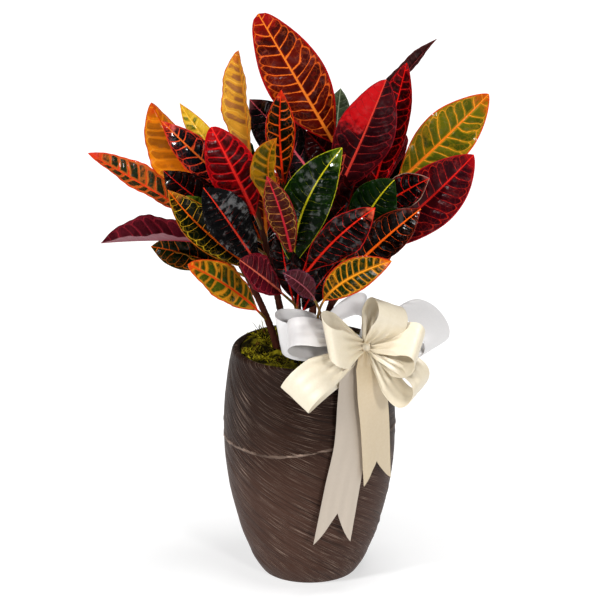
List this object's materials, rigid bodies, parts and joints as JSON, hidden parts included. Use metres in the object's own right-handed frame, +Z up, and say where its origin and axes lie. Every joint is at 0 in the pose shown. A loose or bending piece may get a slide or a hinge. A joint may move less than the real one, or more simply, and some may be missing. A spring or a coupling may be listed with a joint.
{
  "type": "potted croton",
  "caption": "Bushy croton with broad veined leaves in red, orange, yellow and green, standing in moss in a tall combed brown planter with a white and cream ribbon bow on its rim.",
  "frame": {"origin": "middle of the planter's flat foot, on the surface that it stands on", "axes": "+Z up, -Y towards the front, where the bow hangs, +X to the viewer's right"},
  "size_m": [0.4548, 0.2759, 0.6672],
  "materials": {
    "planter": "matte, combed in shallow waves",
    "soil": "dull, crumbly",
    "moss": "tufted, dull",
    "foliage": "waxy, half gloss, veined",
    "wood": "plain",
    "white_ribbon": "satin",
    "cream_ribbon": "satin"
  },
  "bodies": {
    "root": {"planter": "planter", "root_ball": "soil", "moss": "moss", "leafy_stem_left": "foliage", "leafy_stem_left_centre": "foliage", "leafy_stem_centre": "foliage", "leafy_stem_back": "foliage", "leafy_stem_right": "foliage", "bow_pick": "wood", "bow_white": "white_ribbon", "bow_cream": "cream_ribbon"}
  },
  "joints": []
}
